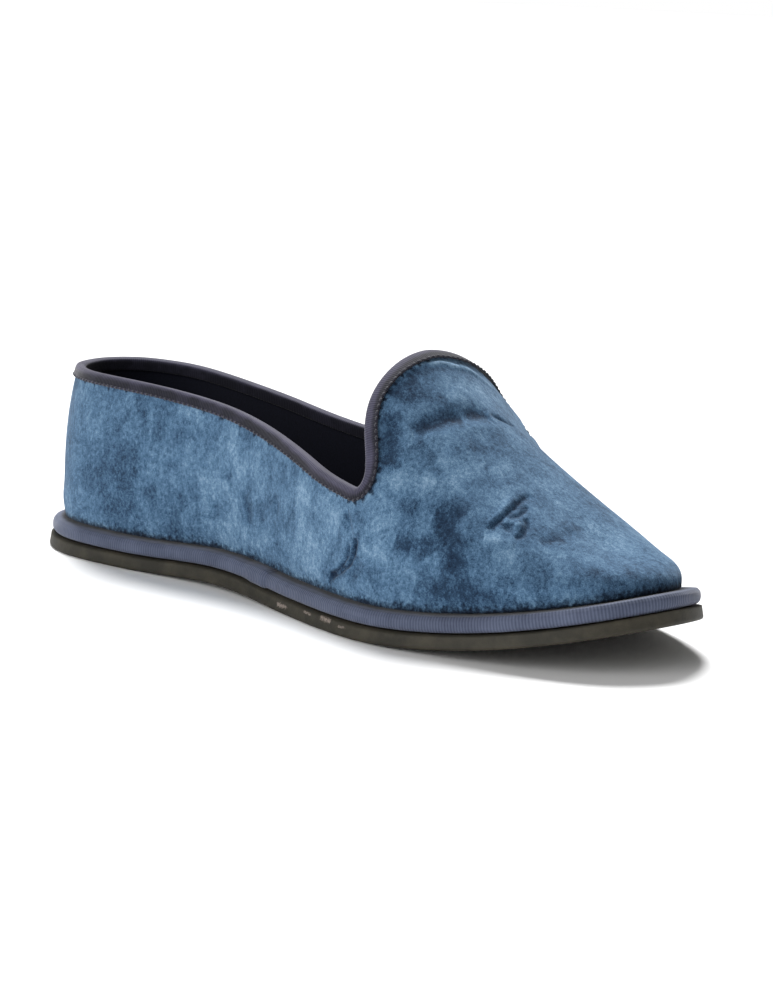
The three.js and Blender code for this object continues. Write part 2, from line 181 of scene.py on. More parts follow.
soft_sun("key_light", (-0.76, 0.56, 1.35), 22, 4.8)
soft_sun("fill_light", (-0.1, -1.0, 0.42), 60, 1.7)

# Past the floor's edge the wall of the studio is white, though it lights the slipper only faintly.
wall_light = 0.2
surround = bpy.data.worlds.new("surround")
surround.use_nodes = True
wall = surround.node_tree.nodes["Background"]
wall.inputs["Color"].default_value = (1, 1, 1, 1)
seen = add_node(surround.node_tree, "ShaderNodeLightPath", {})
wall_strength = worked_out(surround.node_tree, "MAXIMUM", seen.outputs["Is Camera Ray"], wall_light)
surround.node_tree.links.new(wall_strength, wall.inputs["Strength"])
bpy.context.scene.world = surround
bpy.context.scene.view_settings.view_transform = "Standard"

# Outsole
# One flat piece of dark rubber, cut to the slipper's outline and sewn on through a channel that runs round
# its underside. Its cut edge is scuffed pale in a few places at the waist.

merge_reach = 2e-5
flat_enough = math.radians(60)
edge_crease_angle = math.radians(24)
edge_sharpness = 0.85
sole_levels = 3


def merged_copy(node):
    """A copy of a CAD node's triangles, merged and joined into quads."""
    form = bmesh.new()
    form.from_mesh(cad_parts[node].data)
    bmesh.ops.remove_doubles(form, verts=form.verts, dist=merge_reach)
    bmesh.ops.join_triangles(
        form,
        faces=form.faces[:],
        angle_face_threshold=flat_enough,
        angle_shape_threshold=math.pi,
    )
    return form


def crease_edges(form, angle, sharpness):
    """Keeps edges that turn by more than an angle crisp under subdivision."""
    crease = form.edges.layers.float.get("crease_edge") or form.edges.layers.float.new("crease_edge")
    for edge in form.edges:
        if edge.calc_face_angle(0) > angle:
            edge[crease] = sharpness


def rounded_mesh(name, form, levels):
    """The form under a Subdivision Surface, applied, with smooth shading."""
    mesh = bpy.data.meshes.new(name)
    form.to_mesh(mesh)
    form.free()
    rough = new_object(f"{name}_rough", mesh)
    rounding = rough.modifiers.new("rounding", "SUBSURF")
    rounding.levels = levels
    rounding.render_levels = levels
    evaluated = rough.evaluated_get(bpy.context.evaluated_depsgraph_get())
    rounded = bpy.data.meshes.new_from_object(evaluated)
    rounded.name = name
    bpy.data.objects.remove(rough)
    bpy.data.meshes.remove(mesh)
    rounded.shade_smooth()
    rounded.materials.clear()
    return rounded


def walk_ring(edge, vert):
    """The vertices of the closed ring that goes straight on from an edge of a quad mesh."""
    ring = [vert]
    while True:
        vert = edge.other_vert(vert)
        if vert is ring[0]:
            return ring
        ring.append(vert)
        edge = next(e for e in vert.link_edges if not set(e.link_faces) & set(edge.link_faces))


def outline_ring(form):
    """The ring of vertices round the widest line of a sole layer, starting at its outer waist."""
    start = min(form.verts, key=lambda vert: vert.co.y)
    rings = [walk_ring(edge, start) for edge in start.link_edges]
    ring = max(rings, key=len)
    return np.array([vert.co[:] for vert in ring])


def set_finish(piece, material, slot, *nodes):
    """Gives a piece its material and place on the slipper, and hides the nodes it stands for. Its slot is
    not used.
    """
    piece.data.materials.append(material)
    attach(piece, "root")
    if nodes:
        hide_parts(*nodes)


# Fine grain that rubber, cloth and tape share: small noise as a height and as a mask of lighter spots.
grain = bpy.data.node_groups.new("fine_grain", "ShaderNodeTree")
grain.interface.new_socket("Scale", in_out="INPUT", socket_type="NodeSocketFloat")
grain.interface.new_socket("Height", in_out="OUTPUT", socket_type="NodeSocketFloat")
grain.interface.new_socket("Spots", in_out="OUTPUT", socket_type="NodeSocketFloat")
grain_in = add_node(grain, "NodeGroupInput", {})
grain_place = add_node(grain, "ShaderNodeTexCoord", {})
grain_noise = add_node(grain, "ShaderNodeTexNoise", {
    "Vector": grain_place.outputs["Object"],
    "Scale": grain_in.outputs["Scale"],
    "Detail": 3,
    "Roughness": 0.6,
})
grain_coarse = add_node(grain, "ShaderNodeTexNoise", {
    "Vector": grain_place.outputs["Object"], "Scale": 70, "Detail": 4, "Roughness": 0.65,
})
add_node(grain, "NodeGroupOutput", {
    "Height": grain_noise.outputs["Fac"],
    "Spots": ranged(grain, grain_coarse.outputs["Fac"], 0.42, 0.68),
})

outsole_form = merged_copy("outsole")
sole_outline = outline_ring(outsole_form)
crease_edges(outsole_form, edge_crease_angle, edge_sharpness)
outsole = new_object("outsole_rubber", rounded_mesh("outsole_rubber", outsole_form, sole_levels))

rubber, rubber_tree, rubber_shader = new_finish("dark_rubber", Roughness=0.62, Specular_IOR_Level=0.35)
rubber_grain = add_node(rubber_tree, "ShaderNodeGroup", {"Scale": 1500}, node_tree=grain)
rubber_tone = mixed(rubber_tree, rubber_grain.outputs["Spots"], linear(44, 42, 34), linear(64, 60, 50))
rubber_scuff = add_node(rubber_tree, "ShaderNodeAttribute", {}, attribute_name="scuff")
rubber_worn = worked_out(
    rubber_tree, "MULTIPLY", rubber_scuff.outputs["Fac"], rubber_grain.outputs["Height"],
)
rubber_rub = ranged(rubber_tree, rubber_worn, 0.28, 0.5)
rubber_colour = mixed(rubber_tree, rubber_rub, rubber_tone, linear(132, 121, 113))
dress_shader(rubber_tree, rubber_shader, rubber_colour, rubber_grain.outputs["Height"], 0.35, 0.0003)


def mesh_rows(mesh, values="co"):
    """The places of a mesh's vertices, or their normals, as rows of numbers."""
    rows = np.empty(len(mesh.vertices) * 3)
    mesh.vertices.foreach_get(values, rows)
    return rows.reshape(-1, 3)


def along_line(points, line, reach, taper=0.0):
    """How near each point lies to a line in millimetres: 1 on it and 0 well past its reach.

    A tapered line fades towards its ends as well.
    """
    corners = np.array(line) / 1000
    nearest = np.full(len(points), np.inf)
    travelled = np.zeros(len(points))
    steps = np.linalg.norm(np.diff(corners, axis=0), axis=1)
    for n, (start, end) in enumerate(zip(corners[:-1], corners[1:])):
        run = end - start
        share = np.clip((points - start) @ run / (run @ run), 0, 1)
        away = np.linalg.norm(points - (start + share[:, None] * run), axis=1)
        closer = away < nearest
        nearest[closer] = away[closer]
        travelled[closer] = (steps[:n].sum() + share[closer] * steps[n]) / steps.sum()
    ends = np.clip(4 * travelled * (1 - travelled), 0, 1) ** taper if taper else 1
    return np.exp(-((nearest * 1000 / reach) ** 2)) * ends


def keep_values(mesh, name, values):
    """Stores one value for each vertex under a name that a material reads."""
    layer = mesh.attributes.new(name, "FLOAT", "POINT")
    layer.data.foreach_set("value", np.asarray(values, dtype=np.float32))


# Scuffs on the cut edge, in millimetres: reach, then the points of a short rub.
edge_scuffs = [
    (1.2, (5, -42.4, 2.6), (11, -44, 2.8)),
    (0.8, (22, -46.9, 4), (27, -48, 3.6)),
    (1.3, (33, -49.2, 4.1), (38.5, -50.3, 3.8)),
    (0.8, (43, -51.2, 3.3), (46.5, -51.6, 3.2)),
    (0.9, (-60, -34.5, 3), (-55, -34, 2.8)),
    (1.0, (20, 47, 3), (26, 49, 3.2)),
]
outsole_points = mesh_rows(outsole.data)
scuffed = np.zeros(len(outsole_points))
for reach, *line in edge_scuffs:
    scuffed = np.maximum(scuffed, along_line(outsole_points, line, reach))
keep_values(outsole.data, "scuff", scuffed)
set_finish(outsole, rubber, "outsole_rubber", "outsole")

# Outsole stitches
# Waxed brown thread, sewn by machine along a channel that runs round the underside, a little inside the
# sole's edge. Each stitch lies on the bottom of the channel.

channel_inset = 0.0071
channel_pitch = 0.0042
channel_stitch = channel_pitch * 0.72
thread_radius = 0.00042
thread_lift = 0.0001
well_below = 0.02


def even_places(line, pitch, closed=True):
    """Places a pitch apart along a line, each with the direction that the line runs in there."""
    corners = np.vstack([line, line[:1]]) if closed else np.asarray(line)
    steps = np.linalg.norm(np.diff(corners, axis=0), axis=1)
    travelled = np.concatenate([[0], np.cumsum(steps)])
    count = max(1, round(travelled[-1] / pitch))
    spots = (np.arange(count) + 0.5) * travelled[-1] / count
    near = np.clip(np.searchsorted(travelled, spots) - 1, 0, len(steps) - 1)
    share = (spots - travelled[near]) / steps[near]
    runs = np.diff(corners, axis=0)[near]
    return corners[near] + runs * share[:, None], runs / np.linalg.norm(runs, axis=1)[:, None]


def thread_stitch(form, place, line_run, out, length, radius):
    """One stitch: a long, slightly flat bead of thread, turned along its line and laid on the surface."""
    direction = Vector(line_run)
    run = (direction - out * direction.dot(out)).normalized()
    across = out.cross(run).normalized()
    turned = Matrix((run, across, out)).transposed().to_4x4()
    shape = Matrix.Diagonal((length / 2 / radius, 1, 0.7, 1))
    bmesh.ops.create_uvsphere(
        form, u_segments=6, v_segments=5, radius=radius,
        matrix=Matrix.Translation(place) @ turned @ shape @ Matrix.Rotation(math.pi / 2, 4, "Y"),
    )


def thread_finish(name, colour):
    """Waxed thread, darker and lighter by its twist."""
    thread, tree, shader = new_finish(name, Roughness=0.7, Sheen_Weight=0.2)
    place = add_node(tree, "ShaderNodeTexCoord", {})
    twist = add_node(tree, "ShaderNodeTexNoise", {
        "Vector": place.outputs["Object"], "Scale": 2600, "Detail": 2,
    })
    dark = linear(*(part * 0.6 for part in colour))
    tone = mixed(tree, twist.outputs["Fac"], dark, linear(*colour))
    dress_shader(tree, shader, tone, twist.outputs["Fac"], 0.5, 0.0002)
    return thread


def surface_under(mesh):
    """A search tree over a finished mesh."""
    form = bmesh.new()
    form.from_mesh(mesh)
    tree = BVHTree.FromBMesh(form)
    form.free()
    return tree


def inset_line(line, inset):
    """A closed outline moved inwards by an inset, level."""
    ahead = np.roll(line, -1, axis=0) - np.roll(line, 1, axis=0)
    inward = np.stack([ahead[:, 1], -ahead[:, 0], np.zeros(len(line))], axis=1)
    inward /= np.linalg.norm(inward, axis=1)[:, None]
    if ((line.mean(axis=0) - line) * inward).sum() < 0:
        inward = -inward
    return line + inward * inset


outsole_tree = surface_under(outsole.data)
channel_form = bmesh.new()
for place, run in zip(*even_places(inset_line(sole_outline, channel_inset), channel_pitch)):
    below = Vector((place[0], place[1], place[2] - well_below))
    found, facing, _, _ = outsole_tree.ray_cast(below, Vector((0, 0, 1)))
    if found is None:
        continue
    thread_stitch(channel_form, found + facing * thread_lift, run, facing, channel_stitch, thread_radius)
outsole_stitches = object_from("outsole_stitches", channel_form)
outsole_stitches.data.shade_smooth()
set_finish(outsole_stitches, thread_finish("brown_waxed_thread", (60, 52, 44)), "outsole_rubber")

# Wrapped midsole
# A thin board bound round its edge with a ribbed navy tape, folded under and over it and joined by a short
# overlap at the inner waist. It stands a little proud of the velvet.

tape_rib_pitch = 0.0011
midsole_sharpness = 0.45
midsole_levels = 3
join_end = -0.006
join_step = 0.0004
join_length = 0.014
join_fade = 0.0048
join_height = 0.0005
edge_spacing = 0.0008
# Painted shade on the tape's top where it runs in under the velvet: how far in from its edge it starts and
# how far it deepens over, in metres.
under_velvet_shade_from = 0.0026
under_velvet_shade_over = 0.0016


def unroll(form, line, name):
    """Lays out a map with the distance along a closed line as U and the height as V, both in metres."""
    corners = np.vstack([line, line[:1]])
    steps = np.linalg.norm(np.diff(corners, axis=0), axis=1)
    travelled = np.concatenate([[0], np.cumsum(steps)])
    layer = form.loops.layers.uv.new(name)
    spots = {}
    for vert in form.verts:
        point = np.array(vert.co[:])
        runs = np.diff(corners, axis=0)
        share = np.clip(((point - corners[:-1]) * runs).sum(axis=1) / (runs * runs).sum(axis=1), 0, 1)
        away = np.linalg.norm(point - (corners[:-1] + share[:, None] * runs), axis=1)
        best = int(away.argmin())
        spots[vert.index] = travelled[best] + share[best] * steps[best]
    for face in form.faces:
        along = [spots[loop.vert.index] for loop in face.loops]
        if max(along) - min(along) > travelled[-1] / 2:
            along = [spot + travelled[-1] if spot < travelled[-1] / 2 else spot for spot in along]
        for loop, spot in zip(face.loops, along):
            loop[layer].uv = (spot, loop.vert.co.z)


# Ribbed tape, shared by the midsole wrap and the collar binding: ribs across the tape, uneven as woven.
ribbed = bpy.data.node_groups.new("ribbed_tape", "ShaderNodeTree")
ribbed.interface.new_socket("Pitch", in_out="INPUT", socket_type="NodeSocketFloat")
ribbed.interface.new_socket("Height", in_out="OUTPUT", socket_type="NodeSocketFloat")
ribbed.interface.new_socket("Shade", in_out="OUTPUT", socket_type="NodeSocketFloat")
ribbed_in = add_node(ribbed, "NodeGroupInput", {})
ribbed_map = add_node(ribbed, "ShaderNodeUVMap", {}, uv_map="tape")
ribbed_split = add_node(ribbed, "ShaderNodeSeparateXYZ", {"Vector": ribbed_map.outputs["UV"]})
ribbed_wander = add_node(ribbed, "ShaderNodeTexNoise", {
    "Vector": ribbed_map.outputs["UV"], "Scale": 160, "Detail": 3,
})
ribbed_shift = worked_out(
    ribbed, "MULTIPLY_ADD", ribbed_wander.outputs["Fac"], 0.0007, ribbed_split.outputs["X"],
)
ribbed_count = worked_out(ribbed, "DIVIDE", ribbed_shift, ribbed_in.outputs["Pitch"])
ribbed_wave = worked_out(ribbed, "SINE", worked_out(ribbed, "MULTIPLY", ribbed_count, math.tau))
ribbed_height = ranged(ribbed, ribbed_wave, -1.0, 1.0)
ribbed_cloud = add_node(ribbed, "ShaderNodeTexNoise", {
    "Vector": ribbed_map.outputs["UV"], "Scale": 60, "Detail": 4, "Roughness": 0.65,
})
# The Shade output is the weave's cloudy tone, with painted shade in the grooves between the ribs.
ribbed_shade = worked_out(ribbed, "MULTIPLY_ADD", ribbed_height, 0.35, ribbed_cloud.outputs["Fac"])
add_node(ribbed, "NodeGroupOutput", {"Height": ribbed_height, "Shade": ribbed_shade})


def tape_finish(name, dark, light, pitch):
    """Ribbed tape in one colourway, darker where its attribute paints shade, which on the ribbon also stands
    for the stitched band.
    """
    tape, tree, shader = new_finish(
        name, Roughness=0.78, Sheen_Weight=0.25, Sheen_Roughness=0.4, Specular_IOR_Level=0.25,
    )
    ribs = add_node(tree, "ShaderNodeGroup", {"Pitch": pitch}, node_tree=ribbed)
    fibres = add_node(tree, "ShaderNodeGroup", {"Scale": 2200}, node_tree=grain)
    tone = mixed(tree, ranged(tree, ribs.outputs["Shade"], 0.2, 1.1), linear(*dark), linear(*light))
    painted_shade = add_node(tree, "ShaderNodeAttribute", {}, attribute_name="painted_shade")
    ragged = worked_out(tree, "MULTIPLY_ADD", fibres.outputs["Spots"], 0.5, painted_shade.outputs["Fac"])
    # Painted shade: most of the way to near black where the attribute is high, with a ragged edge from the
    # fibre spots.
    colour = mixed(tree, ranged(tree, ragged, 0.35, 1.15, max=0.85), tone, linear(12, 14, 24))
    height = worked_out(tree, "MULTIPLY_ADD", fibres.outputs["Height"], 0.4, ribs.outputs["Height"])
    dress_shader(tree, shader, colour, height, 0.35, 0.00022)
    return tape


def nearest_of(points, targets):
    """The index of the nearest target to each point, with its distance."""
    apart = (points ** 2).sum(axis=1)[:, None] + (targets ** 2).sum(axis=1) - 2 * points @ targets.T
    nearest = apart.argmin(axis=1)
    return nearest, np.sqrt(np.maximum(apart[np.arange(len(points)), nearest], 0))


midsole_form = merged_copy("wrapped_midsole")
wrap_line = outline_ring(midsole_form)
unroll(midsole_form, wrap_line, "tape")
crease_edges(midsole_form, edge_crease_angle, midsole_sharpness)
midsole = new_object("midsole_wrap", rounded_mesh("midsole_wrap", midsole_form, midsole_levels))
midsole_points = mesh_rows(midsole.data)
past_end = join_end - midsole_points[:, 0]
overlap = np.clip(past_end / join_step, 0, 1) * np.clip((join_length - past_end) / join_fade, 0, 1)
overlap *= (midsole_points[:, 1] < 0) * join_height
midsole_points += mesh_rows(midsole.data, "normal") * overlap[:, None]
midsole.data.vertices.foreach_set("co", midsole_points.ravel())
midsole.data.update()
# Painted shade under the foot of the velvet, on the tape's top face away from its edge.
dense_line, _ = even_places(wrap_line, edge_spacing)
_, from_edge = nearest_of(midsole_points[:, :2], dense_line[:, :2])
keep_values(midsole.data, "painted_shade", np.clip((from_edge - under_velvet_shade_from) / under_velvet_shade_over, 0, 1))
set_finish(
    midsole, tape_finish("navy_midsole_tape", (48, 54, 72), (98, 106, 128), tape_rib_pitch),
    "midsole_tape", "wrapped_midsole",
)

# Insole
# A thin foam sock under dark cloth, glued down flat inside the slipper. It fills the foot of the upper and
# shows only through the opening.

insole_levels = 3

insole = new_object("insole_sock", rounded_mesh("insole_sock", merged_copy("insole"), insole_levels))


def cloth_finish(name, dark, light, scale):
    """Plain dark cloth with a fine woven grain."""
    cloth, tree, shader = new_finish(name, Roughness=0.92, Sheen_Weight=0.15, Specular_IOR_Level=0.15)
    weave = add_node(tree, "ShaderNodeGroup", {"Scale": scale}, node_tree=grain)
    tone = mixed(tree, weave.outputs["Height"], linear(*dark), linear(*light))
    dress_shader(tree, shader, tone, weave.outputs["Height"], 0.4, 0.0003)
    return cloth


sock_cloth = cloth_finish("dark_sock_cloth", (16, 17, 24), (38, 40, 54), 1300)
set_finish(insole, sock_cloth, "lining_cloth", "insole")

# Velvet upper
# A vamp with a high round tongue and a quarter that wraps the heel, cut from crushed velvet on a dark
# lining and joined by a seam under each notch. The pile is dented, pinched and brushed both ways. Painted
# shade lies in its folds and at its foot, with painted highlights on the folds' ridges.

upper_levels = 2
rim_angle = math.radians(50)
rim_sharpness = 0.8
# The velvet in sight has a finer mesh: ahead of one place on the inner side and of another on the rest.
fine_inner_side = -0.004
fine_from = -0.06
fine_rest_from = 0.035
# The line inside the slipper that its walls stand round: its two ends, its side and its height.
lining_middle = (-0.1, 0.09, -0.007, 0.022)


def faces_in(centre, normal):
    """True where a face of the upper looks into the slipper."""
    low, high, side, up = lining_middle
    middle = Vector((min(high, max(low, centre.x)), side, up))
    return normal.dot(centre - middle) < 0


# Folds of the velvet in millimetres: depth of the trough (a ridge is negative), reach to each side, then
# the points it runs through on the tongue, its root, the vamp, the side seams and the quarter.
folds = [
    (1.7, 3.2, (54, -31.5, 65.5), (56.4, -29, 66.9), (57, -25.3, 68.8), (58.2, -20.5, 69.8),
     (59.5, -12, 70.4), (59.5, -6.4, 70.5), (60.1, -1.9, 69.5)),
    (0.8, 1.2, (59.9, -1.1, 69.4), (60.7, 2.5, 67.7), (60.9, 8.5, 65)),
    (-0.45, 3.2, (56.5, -31.5, 63.8), (60.5, -25.5, 66), (63.5, -18, 66.5), (64.5, -9, 66.6),
     (64.5, -1, 65.8)),
    (0.9, 3.4, (46, -34.5, 69), (51, -37, 62), (52.5, -40.5, 56)),
    (-0.6, 1.1, (40.6, -27.9, 80.1), (41.1, -23.6, 82.9), (41.6, -15.7, 85.4), (42.4, -7.2, 84.8),
     (43.2, 1.6, 82.9), (43.8, 7.6, 80.3), (44.2, 13.6, 76.5), (44.6, 18.4, 72.5)),
    (-0.5, 4.5, (64, -26, 61), (69, -18, 61)),
    (1.8, 5.5, (45.5, 29, 63), (47.5, 33, 57)),
    (1.1, 1.2, (92.9, -33.6, 40.1), (92.9, -28, 43.9), (91.9, -20.8, 46.8), (90, -13, 48.9)),
    (0.8, 1.0, (94.6, -27.6, 43.2), (95.2, -23.4, 44.5), (94.2, -18.5, 46)),
    (0.9, 1.2, (97.6, -22.6, 43.3), (100.3, -24.4, 41.5), (101.8, -28.3, 39.2), (100.6, -31, 38.2)),
    (0.6, 1.3, (95.6, -29.4, 41.6), (97.6, -31.2, 39.6)),
    (-0.7, 1.5, (97.2, -28.2, 41.7), (98.4, -25.6, 42.1)),
    (-0.5, 1.6, (91.2, -33.2, 41.4), (91, -27, 45), (90, -20, 48)),
    (-0.5, 1.8, (92.9, -36.4, 37.2), (97.6, -34.2, 37.1), (102, -32, 36.5)),
    (0.6, 2.6, (106.8, -26.1, 37.6), (108.7, -19.1, 38.4), (106.6, -12, 40)),
    (0.7, 1.1, (39.3, -45, 39.9), (41.4, -45.6, 36.7), (42.6, -46.1, 33), (43.3, -46.3, 30.5)),
    (1.5, 1.1, (45, -46.6, 31.5), (45.8, -46.6, 29.3), (45.1, -46.7, 26.3), (41.9, -46.2, 22.5),
     (37.9, -45.5, 19.1), (30.5, -43.8, 15.5)),
    (1.2, 0.8, (42.3, -46.2, 29.1), (41.8, -46.2, 25.1), (37.9, -45.5, 20.7), (31.8, -44.2, 17.3)),
    (-0.7, 0.8, (44, -46.4, 29.2), (43.4, -46.4, 25.6), (39.9, -45.9, 21.6), (34.8, -44.8, 18)),
    (0.5, 2.2, (48.8, -47.1, 25.6), (45.8, -46.8, 20.6), (42.5, -46.2, 16.7)),
    (-0.4, 2.4, (37, -44.5, 38), (38.5, -45.2, 30)),
    (0.5, 2, (-41.1, -30, 29.4), (-42.2, -29.8, 22.3)),
    (0.5, 2, (-25.6, -31.5, 35.3), (-22.4, -31.9, 29.6), (-22, -31.7, 22.8)),
    (0.4, 1.8, (-5.2, -35.3, 37.3), (-3.6, -35.8, 30)),
    (0.7, 6, (67, -42, 42), (76, -41, 40), (84, -37, 41)),
    (0.5, 5, (66, -46, 27), (74, -45.7, 24), (81, -44, 28)),
    (0.4, 4, (108, -34, 31), (117, -31, 27.4)),
    (0.9, 1.0, (40.5, 45, 36), (42, 48, 29), (43, 49.5, 22), (42, 50, 15)),
]
# The mesh is finer still beside each fold that is thinner than this.
thin_reach = 2.0
thin_margin = 3.0


def halve_faces(form, faces):
    """Cuts faces in half both ways, keeping the surface round."""
    edges = list({edge for face in faces for edge in face.edges})
    bmesh.ops.subdivide_edges(form, edges=edges, cuts=1, smooth=1.0, use_grid_fill=True)


def is_shown(face):
    """True for a velvet face on the part of the slipper that has the finer mesh."""
    centre = face.calc_center_median()
    starts = fine_from if centre.y < fine_inner_side else fine_rest_from
    return not faces_in(centre, face.normal) and centre.x > starts


upper_form = merged_copy("upper")
crease_edges(upper_form, rim_angle, rim_sharpness)
upper_mesh = rounded_mesh("velvet_upper", upper_form, upper_levels)

detail_form = bmesh.new()
detail_form.from_mesh(upper_mesh)
halve_faces(detail_form, [face for face in detail_form.faces if is_shown(face)])
middles = np.array([face.calc_center_median()[:] for face in detail_form.faces])
beside_fold = np.zeros(len(middles), dtype=bool)
for _, reach, *line in folds:
    if reach < thin_reach:
        beside_fold |= along_line(middles, line, thin_margin) > math.exp(-1)
detail_form.faces.ensure_lookup_table()
close = [detail_form.faces[n] for n in np.flatnonzero(beside_fold)]
halve_faces(detail_form, [face for face in close if not faces_in(face.calc_center_median(), face.normal)])
detail_form.normal_update()
for face in detail_form.faces:
    face.material_index = int(faces_in(face.calc_center_median(), face.normal))
detail_form.to_mesh(upper_mesh)
detail_form.free()

